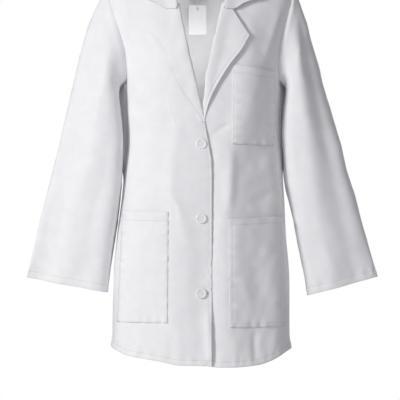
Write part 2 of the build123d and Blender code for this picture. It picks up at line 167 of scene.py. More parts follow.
# Pockets: top inner, top outer, foot outer, foot inner corners in the front view
CHEST_POCKET = ((62, -216), (149, -226), (151, -376), (61, -373))
LEFT_POCKET = ((54, -522), (168, -516), (170, -736), (56, -736))
RIGHT_POCKET = ((-64, -508), (-159, -506), (-166, -727), (-66, -727))
BUTTON_HEIGHTS = (-373.0, -520.5, -668.0)
BUTTON_X = 1.0
# Buttonhole stitches: half length of the row, stitches along it, and steps across each end
HOLE_HALF = 11.8
HOLE_STITCHES = 41
END_STITCHES = 9

# Folds of the cloth in the front view: route, half width, height (below zero is a valley)
RIGHT_FOLDS = (
    (((-44, -330), (-58, -400), (-60, -470), (-40, -530), (-14, -600)), 13, 2.6),
    (((-150, -300), (-120, -330), (-70, -352), (-12, -370)), 12, 1.4),
    (((-146, -420), (-90, -470), (-14, -512)), 16, 1.2),
    (((-172, -150), (-150, -205), (-128, -262), (-118, -330)), 12, 2.2),
    (((-52, -208), (-64, -300), (-70, -392)), 16, -1.4),
    (((-54, -735), (-58, -770), (-60, -815)), 12, -1.8),
    (((-118, -735), (-124, -770), (-128, -815)), 14, 1.8),
    (((-20, -560), (-26, -650), (-16, -760), (-14, -815)), 16, 1.5),
    (((-64, -480), (-52, -500), (-47, -530)), 6, -1.8),
    (((13, -690), (18, -760), (21, -830)), 9, 4.5),
)
LEFT_FOLDS = (
    (((60, -378), (61, -420), (57, -470), (54, -518)), 11, 3.6),
    (((19, -356), (40, -343), (62, -331)), 6, -2.4),
    (((20, -380), (34, -430), (38, -500)), 12, -1.2),
    (((164, -92), (150, -135), (140, -166), (128, -198), (112, -214)), 11, 3.4),
    (((100, -110), (96, -160), (84, -205)), 14, 1.6),
    (((110, -738), (108, -770), (111, -815)), 8, -2.6),
    (((70, -738), (66, -775), (68, -815)), 13, 1.6),
    (((150, -738), (152, -775), (156, -815)), 12, 2.0),
    (((150, -395), (120, -430), (84, -455)), 13, 1.5),
    (((164, -450), (130, -480), (92, -495)), 10, -1.6),
    (((30, -560), (33, -650), (28, -760), (30, -815)), 14, -1.2),
)
BACK_FOLDS = (
    (((-90, -60), (-84, -200), (-66, -380), (-78, -600), (-96, -815)), 22, 3.0),
    (((84, -60), (80, -200), (62, -380), (76, -600), (98, -815)), 22, 3.0),
    (((0, -420), (4, -560), (-6, -700), (0, -815)), 20, 2.4),
    (((-150, -300), (-90, -360), (-30, -400)), 16, 1.6),
    (((150, -310), (96, -372), (30, -410)), 16, 1.6),
    (((-38, -480), (-40, -650), (-46, -815)), 16, -2.4),
    (((42, -480), (44, -650), (52, -815)), 16, -2.4),
)


def hermite(at, xs, ys):
    """A smooth curve through points that never swings past them, at the places asked for."""
    xs, ys = np.asarray(xs, float), np.asarray(ys, float)
    step = np.diff(xs)
    slope = np.diff(ys) / step
    mean = np.zeros_like(ys)
    same = slope[1:] * slope[:-1] > 0
    mean[1:-1][same] = 2 * slope[1:][same] * slope[:-1][same] / (slope[1:] + slope[:-1])[same]
    mean[0], mean[-1] = slope[0], slope[-1]
    at = np.clip(at, xs[0], xs[-1])
    i = np.clip(np.searchsorted(xs, at) - 1, 0, len(step) - 1)
    t = (at - xs[i]) / step[i]
    a, b = 2 * t**3 - 3 * t**2 + 1, t**3 - 2 * t**2 + t
    c, d = 3 * t**2 - 2 * t**3, t**3 - t**2
    return a * ys[i] + b * step[i] * mean[i] + c * ys[i + 1] + d * step[i] * mean[i + 1]


def column(rows, number):
    """One column of a table."""
    return [row[number] for row in rows]


def bell(value, width):
    """One where the value is zero, falling away on both sides over the width."""
    return np.exp(-((value / width) ** 2))


def smooth(t):
    """An even rise from zero to one, flat at both ends."""
    return t * t * (3 - 2 * t)


def route_lengths(route):
    """Length along a route at each of its points."""
    return np.concatenate([[0], np.cumsum([math.dist(a, b) for a, b in zip(route, route[1:])])])


def torso_size(z):
    """Middle X, half width, middle Y and half depth of the torso at heights z."""
    zs, zd = column(WIDTHS, 0), column(DEPTHS, 0)
    mid_x, wide = hermite(z, zs, column(WIDTHS, 1)), hermite(z, zs, column(WIDTHS, 2))
    mid_y, deep = hermite(z, zd, column(DEPTHS, 1)), hermite(z, zd, column(DEPTHS, 2))
    return mid_x, wide, mid_y, deep


def signed_power(value, exponent):
    """A power of the value's size, with the value's sign."""
    return np.sign(value) * np.abs(value) ** exponent


def torso(angle, z):
    """Point of the torso at an angle from the front centre, positive to the wearer's left."""
    mid_x, wide, mid_y, deep = torso_size(z)
    x = mid_x + wide * signed_power(np.sin(angle), 2 / POWER)
    y = mid_y - deep * signed_power(np.cos(angle), 2 / POWER)
    return np.stack([x, y, z + 0 * angle], -1)


def front_angle(x, z):
    """The angle at which the front has the given X."""
    mid_x, wide, _, _ = torso_size(z)
    ratio = np.clip((x - mid_x) / wide, -1, 1)
    return np.arcsin(np.clip(signed_power(ratio, POWER / 2), -1, 1))


def armhole_angle(z):
    """How far round the front goes before the armhole, at heights z, up to the side seam."""
    along = np.clip((z - ARMHOLE_MIDDLE) / ARMHOLE_REACH, -1, 1)
    ratio = 1 - ARMHOLE_DEPTH * np.sqrt(1 - along**2) ** 1.5
    return np.arcsin(np.clip(ratio ** (POWER / 2), 0, 1))


def seam_fade(x, z):
    """Zero at the armhole and side seams, one away from them, so that pieces meet at their seams."""
    mid_x, wide, _, _ = torso_size(z)
    angle = np.arcsin(np.clip(np.abs((x - mid_x) / wide), 0, 1) ** (POWER / 2))
    along = (z - ARMHOLE_MIDDLE) / ARMHOLE_REACH
    limit = np.arcsin((1 - SEAM_FADE_DEPTH * np.exp(-(along**4))) ** (POWER / 2))
    return smooth(np.clip((limit - angle) / SEAM_FADE_ANGLE, 0, 1))


def form_push(x, z):
    """Broad rise and hollow of the fronts, in millimetres: a ridge below the bust, a hollow beside it."""
    level = np.clip((-95 - z) / 70, 0, 1) * np.clip((z + 900) / 160, 0.35, 1)
    chest = np.clip((z + 400) / 110, 0, 1)
    ridge = (3.5 + 0.8 * chest) * bell(x - 50 - 42 * chest, 22 + 12 * chest)
    hollow = (10.0 - 8.5 * chest) * bell(x - 118 - 42 * chest, 40)
    other = 2.0 * bell(x + 52, 26) - 3.0 * bell(x + 118, 40)
    return level * (ridge - hollow + other) * seam_fade(x, z)


def route_x(z, route):
    """X of a route at heights z, where the route falls from row to row."""
    route = sorted(route, key=lambda point: point[1])
    return np.interp(z, [p[1] for p in route], [p[0] for p in route])


def stroke(points, route):
    """Signed distance to a route, length along it and its full length, for points in the front view."""
    best = np.full(points.shape[:-1], 1e9)
    signed, along = np.zeros_like(best), np.zeros_like(best)
    done = 0.0
    for a, b in zip(route, route[1:]):
        a, b = np.array(a, float), np.array(b, float)
        way, size = b - a, np.linalg.norm(b - a)
        t = np.clip(((points - a) @ way) / size**2, 0, 1)
        off = points - (a + t[..., None] * way)
        gap = np.linalg.norm(off, axis=-1)
        side = np.sign(off[..., 0] * way[1] - off[..., 1] * way[0])
        near = gap < best
        best = np.where(near, gap, best)
        signed = np.where(near, gap * np.where(side == 0, 1, side), signed)
        along = np.where(near, done + t * size, along)
        done += size
    return signed, along, done


def fold_height(points, folds, amount=1.0):
    """Height of the cloth's folds at points in the front view, in millimetres."""
    height = np.zeros(points.shape[:-1])
    for route, width, high in folds:
        gap, along, length = stroke(points, route)
        ends = smooth(np.clip(np.minimum(along, length - along) / (0.35 * length), 0, 1))
        height += amount * high * bell(gap, width) * (0.15 + 0.85 * ends)
    return height


def waves(points, seed, count, low, high, stretch=(1.0, 1.0, 1.0)):
    """Soft random waves between two wavelengths, in millimetres, of about unit height."""
    rng = np.random.default_rng(seed)
    total = np.zeros(points.shape[:-1])
    for _ in range(count):
        way = rng.normal(size=3) / np.array(stretch)
        way /= np.linalg.norm(way)
        length = low * (high / low) ** rng.random()
        bend = 0.35 * length * np.sin((points @ rng.normal(size=3)) / (2.2 * length))
        total += np.sin(2 * math.pi * (points @ way + bend) / length + rng.random() * 7)
    return total / math.sqrt(count / 2)


def normals(points, out_from=None):
    """Unit normals of a grid of points, turned away from out_from."""
    du, dv = np.gradient(points, axis=1), np.gradient(points, axis=0)
    n = np.cross(du, dv)
    n /= np.maximum(np.linalg.norm(n, axis=-1, keepdims=True), 1e-9)
    if out_from is not None and np.sum(n * (points - out_from)) < 0:
        n = -n
    return n


def outward(points):
    """Unit normals turned away from the upright line through the origin."""
    return normals(points, points * np.array([0, 0, 1.0]))


# ---------------------------------------------------------------------------------------------
# Meshes
# ---------------------------------------------------------------------------------------------


def cloth_object(name, grids, thickness, wrap=False):
    """One mesh of several grids. Each grid is points in millimetres and stitch (distance, along)."""
    verts, faces, gaps, runs = [], [], [], []
    for points, stitch in grids:
        rows, cols = points.shape[:2]
        start = sum(len(v) for v in verts)
        verts.append(points.reshape(-1, 3) * MM)
        index = np.arange(rows * cols).reshape(rows, cols) + start
        if wrap:
            index = np.concatenate([index, index[:, :1]], 1)
        quads = np.stack([index[:-1, :-1], index[:-1, 1:], index[1:, 1:], index[1:, :-1]], -1)
        faces.append(quads.reshape(-1, 4))
        gap, run = stitch or (np.full((rows, cols), NO_STITCH), np.zeros((rows, cols)))
        gaps.append(np.clip(gap, -NO_STITCH, NO_STITCH).reshape(-1) * MM)
        runs.append(run.reshape(-1) * MM)
    mesh = bpy.data.meshes.new(name)
    mesh.from_pydata(np.concatenate(verts).tolist(), [], np.concatenate(faces).tolist())
    mesh.shade_smooth()
    for label, values in (("stitch_gap", gaps), ("stitch_run", runs)):
        data = mesh.attributes.new(label, "FLOAT", "POINT")
        data.data.foreach_set("value", np.concatenate(values).astype(np.float32))
    mesh.update()
    piece = bpy.data.objects.new(name, mesh)
    bpy.context.scene.collection.objects.link(piece)
    solid = piece.modifiers.new("Cloth thickness", "SOLIDIFY")
    solid.thickness = thickness * MM
    solid.offset = 0.0
    return piece


def nearest_stitch(pairs):
    """The stitch line nearest to each point, as signed distance and run."""
    gap, run = pairs[0]
    for other_gap, other_run in pairs[1:]:
        near = np.abs(other_gap) < np.abs(gap)
        gap, run = np.where(near, other_gap, gap), np.where(near, other_run, run)
    return gap, run


def groove(gap, width=1.6, depth=0.5):
    """The dip that a row of stitches pulls into the cloth."""
    return -depth * bell(gap, width)


def pucker(gap, run, reach=9.0, height=0.5, seed=3):
    """Small gathers that fade away from a stitched line."""
    rng = np.random.default_rng(seed)
    wave = sum(np.sin(run / (2.1 + 3.2 * rng.random()) + 7 * rng.random()) for _ in range(4)) / 2
    return height * wave * bell(gap, reach)


def hem_step(gap):
    """Extra height of the doubled cloth on the hem's side of its stitches."""
    return 0.5 / (1 + np.exp(gap / 0.8))


def hem_z(x):
    """Height of the curved hem at X."""
    return hermite(x, column(HEM, 0), column(HEM, 1))


def panel_grid(start_angle, end_angle, top, across, down):
    """A torso grid between two angle functions, from the curved hem to the top height."""
    t = np.linspace(0, 1, across)[None, :]
    v = np.linspace(0, 1, down)[:, None]
    z = HEM_Z + (top - HEM_Z) * v + 0 * t
    for _ in range(3):
        angle = start_angle(z) + (end_angle(z) - start_angle(z)) * t
        x = torso(angle, z)[..., 0]
        z = hem_z(x) + (top - hem_z(x)) * v
    return torso(angle, z)


def relief(points, folds, seed, amount, wave=0.7):
    """Folds and soft waves of the cloth over the torso, in millimetres."""
    x, z = points[..., 0], points[..., 2]
    push = fold_height(points[..., [0, 2]], folds, amount)
    push += wave * waves(points, seed, 9, 70, 230, (1, 1, 3.0))
    push += 0.15 * waves(points, seed + 50, 8, 26, 60, (1, 1, 2.0))
    low = np.clip((-640 - z) / 170, 0, 1)
    push += 2.0 * low * np.sin(x / 21.0 + seed) * (0.6 + 0.4 * np.sin(x / 57.0))
    return push * seam_fade(x, z)


def finish_panel(points, folds, seed, edges, wave=0.7, amount=1.0):
    """Adds folds, soft waves, hem, stitch grooves and puckers to a torso grid."""
    n = outward(points)
    push = relief(points, folds, seed, amount, wave)
    push += np.where(points[..., 1] < 0, form_push(points[..., 0], points[..., 2]), 0.0)
    up = points[..., 2] - hem_z(points[..., 0])
    push += hem_step(up - HEM_STITCH)
    gap, run = nearest_stitch([(up - HEM_STITCH, points[..., 0])] + (edges(points) if edges else []))
    # The hem's corners at the side seams stand out a little.
    corner = bell(up, 15) * bell(np.abs(points[..., 0]) - 180, 9)
    push += groove(gap) + pucker(gap, run, seed=seed)
    points = points + n * push[..., None]
    points[..., 0] += 3.0 * corner * np.sign(points[..., 0])
    return points, (gap, run)


def make_back():
    """The back from side seam to side seam, and the facing inside its neck."""
    settings = bpy.context.scene.lab_coat
    points = panel_grid(
        lambda z: SIDE_SEAM + (SIDE_SEAM - armhole_angle(z)),
        lambda z: 2 * math.pi - SIDE_SEAM - (SIDE_SEAM - armhole_angle(z)),
        top=-4.0, across=230, down=300,
    )
    points, stitch = finish_panel(points, BACK_FOLDS, 11, None, amount=settings.folds, wave=0.9)
    # Under each arm the back stands out sideways, behind the gap between coat and sleeve.
    deep = np.where(points[..., 0] < 0, 20.0, 28.0)
    level = np.exp(-(((points[..., 2] - UNDER_ARM_Z) / UNDER_ARM_REACH) ** 4))
    under = level * bell(points[..., 1] - deep, UNDER_ARM_DEPTH)
    points[..., 0] += UNDER_ARM_PUSH * under * np.sign(points[..., 0])
    piece = cloth_object("back_cloth", [(points, stitch)], BACK_CLOTH)
    neck_t = np.linspace(-1, 1, 80)[None, :]
    drop = np.linspace(0, 1, 26)[:, None]
    depth = NECK_SIDE + NECK_CENTRE * (1 - neck_t**2)
    facing = torso(math.pi + neck_t * NECK_ANGLE, -4 - drop * depth)
    stitch = ((1 - drop) * depth - 2, facing[..., 0])
    facing = facing - outward(facing) * NECK_INSET
    lining = cloth_object("back_neck_facing_cloth", [(facing, stitch)], BACK_CLOTH)
    return [(piece, ["back_panel"]), (lining, ["back_neck_facing"])]


def front_edges(edge, side):
    """A function that gives the stitch row beside a front's edge."""

    def edges(points):
        x = route_x(points[..., 2], edge)
        return [((points[..., 0] - x) * side - EDGE_STITCH, points[..., 2])]

    return edges


def lapel_fade(z, foot):
    """How fully the lapel stands off the front: less and less down to its foot."""
    return np.clip((z - foot) / 60, 0.15, 1)


def curl(roll, side, top, foot, down):
    """The turned edge of a roll line, from the front's edge out to the lapel's face."""
    z = np.linspace(top, foot, down)[:, None]
    turn = np.linspace(-math.pi / 2, math.pi / 2, CURL_COLUMNS)[None, :]
    size = CURL_RADIUS * lapel_fade(z, foot)
    x = route_x(z, roll) + side * size * np.cos(turn)
    return x, z + 0 * turn, size * (1 + np.sin(turn))


def lifted(x, z, height):
    """Points above the torso's front at X and Z."""
    points = torso(front_angle(x, z), z)
    height = np.asarray(height) + form_push(x, z)
    return points + outward(points) * height[..., None]


def lapel_grid(roll, outer, gorge, side, seed, lift):
    """A lapel: the roll's curl, then its flat face, as one grid."""
    down, across = 110, 46
    s = np.linspace(0, 1, down)[:, None]
    t = np.linspace(0, 1, across)[None, :]
    top, foot = gorge[0][1], outer[-1][1]
    roll_z = top + (foot - top) * s
    roll_x = route_x(roll_z, roll)
    lengths, spans = route_lengths(outer), route_lengths(gorge)
    outer_x = hermite(s * lengths[-1], lengths, column(outer, 0))
    outer_z = hermite(s * lengths[-1], lengths, column(outer, 1))
    top_x = np.interp(t * spans[-1], spans, column(gorge, 0))
    top_z = np.interp(t * spans[-1], spans, column(gorge, 1))
    x = roll_x * (1 - t) + outer_x * t + (1 - s) * (top_x - (roll_x[0] * (1 - t) + outer_x[0] * t))
    z = roll_z * (1 - t) + outer_z * t + (1 - s) * (top_z - (roll_z[0] * (1 - t) + outer_z[0] * t))
    fade = lapel_fade(z, foot)
    width = np.hypot(x - roll_x, z - roll_z)
    height = 2 * CURL_RADIUS * fade * (0.42 + 0.58 * bell(width, 16))
    height += lift * fade * (t**3) + 1.2 * fade * np.sin(math.pi * t)
    cx, cz, ch = curl(roll, side, top, foot, down)
    x, z, height = (np.concatenate([a, b[:, 1:]], 1) for a, b in ((cx, x), (cz, z), (ch, height)))
    points = lifted(x, z, height + 0.6)
    to_edge = np.hypot(outer_x - x[:, CURL_COLUMNS:], outer_z - z[:, CURL_COLUMNS:])
    gap = np.concatenate([np.full((down, CURL_COLUMNS), NO_STITCH), to_edge - EDGE_STITCH], 1)
    push = 0.35 * waves(points, seed, 7, 26, 80) + groove(gap, 1.4, 0.35)
    return points + outward(points) * push[..., None], (gap, z)


def make_front(name, edge, folds, side, seed, back_by):
    """One front: a torso grid from its front edge to the side seam and armhole."""
    settings = bpy.context.scene.lab_coat

    def start(z):
        return front_angle(route_x(z, edge), z)

    def end(z):
        return side * armhole_angle(z)

    points = panel_grid(start, end, top=-1.0, across=170, down=300)
    points, stitch = finish_panel(points, folds, seed, front_edges(edge, side), amount=settings.folds)
    # Where the fronts overlap, the one beneath is moved back.
    lap = np.clip((-325 - points[..., 2]) / 60, 0, 1)
    inside = 1 / (1 + np.exp((points[..., 0] * side - LAP_END) / 3.0))
    shift = (back_by * lap * inside)[..., None] * np.array([0, 1.0, 0])
    return cloth_object(name, [(points + shift, stitch)], BODY_CLOTH)


def facing_grid(edge, side, offset, top=-84.0):
    """The strip that lines a front edge inside."""
    z = np.linspace(HEM_Z + 3, top, 200)[:, None]
    t = np.linspace(0, 1, 26)[None, :]
    x = route_x(z, edge) + side * 1.0 + side * FACING_WIDTH * t
    return lifted(x, z + 0 * t, -offset)


def make_right_front():
    """The upper front, and its facing with the lapel."""
    front = make_front("right_front_cloth", RIGHT_EDGE, RIGHT_FOLDS, side=-1, seed=RIGHT_SEED, back_by=0.0)
    lapel = lapel_grid(RIGHT_ROLL, RIGHT_LAPEL, RIGHT_GORGE, side=1, seed=31, lift=1.6)
    strip = facing_grid(RIGHT_EDGE, side=-1, offset=1.3)
    facing = cloth_object("right_facing_cloth", [lapel, (strip, None)], FACING_CLOTH)
    return [(front, ["right_front"]), (facing, ["right_facing"])]


def make_left_front():
    """The front beneath, and its facing with the lapel."""
    front = make_front("left_front_cloth", LEFT_EDGE, LEFT_FOLDS, side=1, seed=LEFT_SEED, back_by=2.8)
    lapel = lapel_grid(LEFT_ROLL, LEFT_LAPEL, LEFT_GORGE, side=-1, seed=32, lift=5.0)
    strip = facing_grid(LEFT_EDGE, side=1, offset=4.0)
    facing = cloth_object("left_facing_cloth", [lapel, (strip, None)], FACING_CLOTH)
    return [(front, ["left_front"]), (facing, ["left_facing"])]


def collar_grid(inset):
    """The collar from its outer edge over the roll and down to the neck seam."""
    half = [np.array(station, float) for station in COLLAR]
    full = half + [station * np.array([-1, 1, 1]) for station in half[-2::-1]]
    stations = np.array(full)
    k = np.arange(len(stations), dtype=float)
    at = np.linspace(0, len(stations) - 1, 260)
    curve = np.stack([[hermite(at, k, stations[:, p, c]) for c in range(3)] for p in range(3)])
    neck, roll, edge = (curve[p].T for p in range(3))
    out = edge - roll
    out /= np.linalg.norm(out, axis=1, keepdims=True)
    inner = neck - roll
    away = np.cross(out, inner)
    away = np.cross(away, inner)
    away /= np.maximum(np.linalg.norm(away, axis=1, keepdims=True), 1e-6)
    away *= np.sign(np.sum(away * out, 1))[:, None]
    up = np.array([0, 0, 1.0])
    dip = np.clip(1 - np.minimum(at, len(stations) - 1 - at), 0, 1)[:, None] ** 1.5
    keys = np.array([
        edge,
        edge * 0.6 + roll * 0.4 + (up * 1.5 + away * 1.0) - dip * up * 4.0,
        edge * 0.27 + roll * 0.73 + away * 2.0 - up * 0.5 - dip * up * 10.0,
        roll + away * 4.5 - up * 3.0 - dip * up * 4.0,
        roll + away * 1.5,
        roll - away * 1.0 - up * 4.0,
        neck * 0.5 + roll * 0.5 - away * 0.6,
        neck,
    ])
    t = np.linspace(0, len(keys) - 1, 60)
    places = np.arange(len(keys))
    lines = [[hermite(t, places, keys[:, i, c]) for c in range(3)] for i in range(len(at))]
    grid = np.stack(lines).transpose(0, 2, 1)
    n = normals(grid)
    if n[len(at) // 2, 3, 2] < 0:
        n = -n
    gap = np.linalg.norm(grid - edge[:, None], axis=-1) - EDGE_STITCH
    run = np.cumsum(np.linalg.norm(np.gradient(edge, axis=0), axis=1))[:, None] + 0 * t[None, :]
    push = 0.3 * waves(grid, 41, 7, 30, 90) + groove(gap, 1.4, 0.35) - inset
    return grid + n * push[..., None], (gap, run)


def make_collar():
    """The whole upper collar, and the under collar beneath its turned-down part."""
    upper = cloth_object("upper_collar_cloth", [collar_grid(inset=0.0)], COLLAR_CLOTH)
    grid, _ = collar_grid(inset=1.5)
    under = cloth_object("under_collar_cloth", [(grid[:, 2:26], None)], COLLAR_CLOTH)
    return [(upper, ["upper_collar"]), (under, ["under_collar", "collar_interfacing"])]


def make_sleeve(name, rings, side, seed):
    """A sleeve from the armhole to the cuff, with its hem."""
    settings = bpy.context.scene.lab_coat
    rings = np.array(rings, float)
    middle = np.stack([(rings[:, 0] + rings[:, 2]) / 2, (rings[:, 1] + rings[:, 3]) / 2], -1)
    length = np.concatenate([[0], np.cumsum(np.linalg.norm(np.diff(middle, axis=0), axis=1))])
    down, around = 250, 150
    s = np.linspace(0, length[-1], down)
    ox, oz, ix, iz, deep = (hermite(s, length, rings[:, c]) for c in range(5))
    turn = np.linspace(0, 2 * math.pi, around, endpoint=False)[None, :]
    mid_x, mid_z = ((ox + ix) / 2)[:, None], ((oz + iz) / 2)[:, None]
    half_x, half_z = ((ox - ix) / 2)[:, None], ((oz - iz) / 2)[:, None]
    c, f = np.cos(turn), np.sin(turn)
    skew = (17.0 - 9.0 * side) * np.abs(f) * c
    blunt = 0.60 + 0.06 * side
    tube_y = skew - deep[:, None] * signed_power(f, blunt)
    tube = np.stack([mid_x + half_x * c, tube_y, mid_z + half_z * c], -1)
    loop_z = ARMHOLE_MIDDLE + ARMHOLE_REACH * c
    ratio = 1 - ARMHOLE_DEPTH * np.abs(f) ** 1.5
    lx, lw, ly, ld = torso_size(loop_z)
    loop_y = ly - ld * np.sign(f) * (1 - np.clip(ratio, 0, 1) ** POWER) ** (1 / POWER)
    loop = np.stack([lx + side * lw * ratio, loop_y, loop_z], -1)
    share = 1 - (1 - np.clip(s / SLEEVE_HEAD, 0, 1)[:, None]) ** 2.2
    points = loop * (1 - share[..., None]) + tube * share[..., None]
    centre = np.stack([mid_x + 0 * turn, 0 * mid_x + 0 * turn, mid_z + 0 * turn], -1)
    wrapped = np.concatenate([points[:, -1:], points, points[:, :1]], 1)
    n = normals(wrapped, np.concatenate([centre[:, -1:], centre, centre[:, :1]], 1))[:, 1:-1]
    d = s[:, None] + 0 * turn
    near_top = np.clip((d - 2) / 12, 0, 1)
    push = 2.8 * bell(d - 14, 8.0) * np.clip(0.65 + 0.5 * c, 0.2, 1)
    fade = np.clip(d / 60, 0, 1)
    push += fade * settings.folds * waves(points, seed, 9, 60, 190, (1, 1, 3.5)) * 1.1
    push += fade * 0.3 * waves(points, seed + 50, 9, 22, 60, (1, 1, 1.8))
    ridge, valley = (1.38, 0.75) if side > 0 else (1.75, 2.35)
    drift = side * 0.45 * d / length[-1]
    push += settings.folds * fade * 4.0 * bell(turn - ridge - drift, 0.3)
    push -= settings.folds * fade * 3.0 * bell(turn - valley - drift, 0.3)
    push += settings.folds * fade * 1.8 * bell(turn - 4.4, 0.4)
    cuff = length[-1] - CUFF_STITCH - d
    push += hem_step(cuff) + groove(cuff) + pucker(cuff, d * 0 + turn * 60, seed=seed)
    top = d - 5.0
    push += groove(d - 2.0, 1.5, 0.5) + pucker(d, turn * 70, 8.0, 0.5, seed) * near_top
    gap, run = nearest_stitch([(cuff, turn * 58 + 0 * d), (top, turn * 62 + 0 * d)])
    # The first few millimetres are tucked in behind the armhole's edge.
    tuck = np.exp(-d / 2.5)
    push -= 1.4 * tuck
    points = points + n * push[..., None]
    points[..., 0] -= side * 3.0 * tuck
    return cloth_object(name, [(points, (gap, run))], BODY_CLOTH, wrap=True)


def make_pocket(name, corners, seed, hem_height, bulge, puffs, doubled):
    """A patch pocket stitched at its sides and foot, standing slightly open at its mouth."""
    a, b, c, d = (np.array(corner, float) for corner in corners)
    width, height = np.linalg.norm(b - a), np.linalg.norm(d - a)
    across, down = int(width / POCKET_GRID), int(height / POCKET_GRID)
    u = np.linspace(0, 1, across)[None, :, None]
    v = np.linspace(0, 1, down)[:, None, None]
    flat = (1 - v) * ((1 - u) * a + u * b) + v * ((1 - u) * d + u * c)
    u, v = u[..., 0] + 0 * v[..., 0], v[..., 0] + 0 * u[..., 0]
    side_gap = np.minimum(u, 1 - u) * width
    foot_gap = (1 - v) * height
    hold = np.minimum(side_gap, foot_gap)
    open_share = 1 - np.exp(-hold / 16.0)
    lift = 1.1 + 1.2 * np.exp(-foot_gap / 14.0) + bulge * open_share * np.exp(-v * height / 130.0)
    top_gap = v * height - hem_height
    lift += hem_step(top_gap)

    def sewn(inset):
        return [(side_gap - inset, v * height), (foot_gap - inset, u * width)]

    pairs = sewn(POCKET_STITCH) + [(top_gap, u * width)]
    double = sewn(POCKET_SECOND_STITCH)
    gap, run = nearest_stitch(pairs + double if doubled else pairs)
    edge_gap, edge_run = nearest_stitch(pairs[:2])
    lift += pucker(edge_gap, edge_run, 11.0, 0.75, seed) + groove(gap)
    lift += fold_height(flat, puffs)
    # The pocket takes the relief of the front that it lies on, so that its edges stay on the cloth.
    base = torso(front_angle(flat[..., 0], flat[..., 1]), flat[..., 1])
    folds, cloth_seed = (LEFT_FOLDS, LEFT_SEED) if a[0] > 0 else (RIGHT_FOLDS, RIGHT_SEED)
    lift += relief(base, folds, cloth_seed, bpy.context.scene.lab_coat.folds)
    points = lifted(flat[..., 0], flat[..., 1], lift)
    points = points + outward(points) * (0.15 * waves(points, seed, 8, 30, 90, (1, 1, 2.0)))[..., None]
    return cloth_object(name, [(points, (gap, run))], BODY_CLOTH)


# Folds of each pocket's own cloth, as in the tables of folds above
POCKET_PUFFS = {
    "chest": (
        (((70, -240), (76, -310), (74, -362)), 14, 0.8),
        (((120, -236), (118, -300), (124, -364)), 14, -0.9),
    ),
    "left": (
        (((66, -560), (80, -640), (112, -725)), 12, 1.0),
        (((88, -540), (110, -640), (152, -722)), 15, -0.9),
        (((120, -545), (142, -630), (160, -700)), 13, 0.8),
    ),
    "right": (
        (((-84, -530), (-96, -620), (-90, -712)), 14, 0.9),
        (((-130, -530), (-124, -620), (-134, -712)), 15, 1.0),
    ),
}


def make_buttonholes():
    """Close satin stitches round each buttonhole, with a bar at both ends."""
    verts, faces = [], []

    def bar(x, z, wide, tall):
        y = float(torso(front_angle(np.array([x]), np.array([z])), np.array([z]))[0, 1])
        q = len(verts)
        for dy, grow in ((0.0, 1.0), (-0.75, 0.55)):
            half_x, half_z = wide * grow / 2, tall * (0.9 + 0.1 * grow) / 2
            for sx, sz in ((-1, -1), (1, -1), (1, 1), (-1, 1)):
                verts.append(((x + sx * half_x) * MM, (y + dy) * MM, (z + sz * half_z) * MM))
        faces.extend([(q, q + 1, q + 2, q + 3), (q + 4, q + 5, q + 6, q + 7)])
        faces.extend([(q + i, q + (i + 1) % 4, q + 4 + (i + 1) % 4, q + 4 + i) for i in range(4)])

    for height in BUTTON_HEIGHTS:
        for step in range(HOLE_STITCHES):
            x = BUTTON_X - HOLE_HALF + 2 * HOLE_HALF * step / (HOLE_STITCHES - 1)
            for side in (-1, 1):
                bar(x, height + side * 1.5, 0.52, 2.0)
        for end in (-1, 1):
            for step in range(END_STITCHES):
                bar(BUTTON_X + end * (HOLE_HALF + 0.9), height - 2.4 + 0.6 * step, 2.0, 0.52)
    mesh = bpy.data.meshes.new("buttonhole_stitches")
    mesh.from_pydata(verts, [], faces)
    piece = bpy.data.objects.new("buttonhole_stitches", mesh)
    bpy.context.scene.collection.objects.link(piece)
    return piece


# ---------------------------------------------------------------------------------------------
# Materials
# ---------------------------------------------------------------------------------------------


def linear(code):
    """A linear colour from an sRGB hex code."""
    parts = [int(code[i : i + 2], 16) / 255 for i in (1, 3, 5)]
    return tuple(p / 12.92 if p <= 0.04045 else ((p + 0.055) / 1.055) ** 2.4 for p in parts) + (1.0,)


def fill(tree, node, inputs):
    """Fills or links a node's inputs."""
    for key, value in inputs.items():
        if isinstance(value, bpy.types.NodeSocket):
            tree.links.new(value, node.inputs[key])
        else:
            node.inputs[key].default_value = value


def add_node(tree, kind, inputs=None, **settings):
    """Adds a shader node, sets its properties, and fills or links its inputs."""
    node = tree.nodes.new(kind)
    for key, value in settings.items():
        setattr(node, key, value)
    fill(tree, node, inputs or {})
    return node


def maths(tree, operation, *values):
    """The result of a sum on numbers or sockets."""
    return add_node(tree, "ShaderNodeMath", dict(enumerate(values)), operation=operation).outputs[0]


def remap(tree, value, *ends):
    """A value moved from one range to another. The ends are from low, from high, to low, to high."""
    return add_node(tree, "ShaderNodeMapRange", dict(enumerate((value, *ends)))).outputs[0]


def mixed(tree, share, first, second, **settings):
    """Two colours mixed by a share."""
    inputs = {0: share, 6: first, 7: second}
    return add_node(tree, "ShaderNodeMix", inputs, data_type="RGBA", **settings).outputs[2]


def noise(tree, place, scale, **inputs):
    """Cloudy noise over an object's own coordinates."""
    inputs = {"Vector": place, "Scale": scale, **inputs}
    return add_node(tree, "ShaderNodeTexNoise", inputs).outputs["Fac"]


def bumped(tree, height, strength, distance, **inputs):
    """A normal tilted by a height."""
    inputs = {"Height": height, "Strength": strength, "Distance": distance, **inputs}
    return add_node(tree, "ShaderNodeBump", inputs).outputs[0]


def new_material(name):
    """A new material with its node tree, its shader and the object's own coordinates."""
    material = bpy.data.materials.new(name)
    material.use_nodes = True
    tree = material.node_tree
    place = add_node(tree, "ShaderNodeTexCoord").outputs["Object"]
    return material, tree, tree.nodes["Principled BSDF"], place


